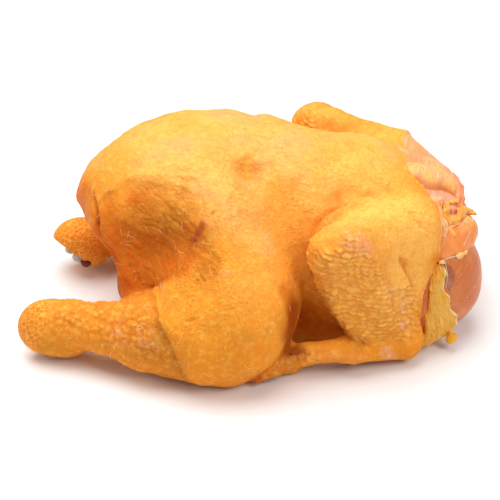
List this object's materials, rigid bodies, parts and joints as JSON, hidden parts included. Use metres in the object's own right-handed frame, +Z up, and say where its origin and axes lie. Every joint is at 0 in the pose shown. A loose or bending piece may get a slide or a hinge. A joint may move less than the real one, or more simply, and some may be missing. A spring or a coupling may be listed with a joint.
{
  "type": "whole raw chicken",
  "caption": "Whole raw yellow-skinned chicken, plucked and drawn, lying breast down with its wings folded, its hocks on and bare meat at the neck end.",
  "frame": {"origin": "on the table, under the middle of the bird's bounding box", "axes": "+X from the tail to the neck end, +Y to the bird's left side, +Z up"},
  "size_m": [0.3078, 0.235, 0.1337],
  "materials": {
    "chicken_skin": "moist pebbled yellow skin with a soft gloss",
    "raw_meat": "wet smooth raw muscle, pink to orange",
    "skin_fat": "greasy rough fat on the inner side of the skin"
  },
  "bodies": {
    "root": {"chicken": "chicken_skin"}
  },
  "joints": []
}
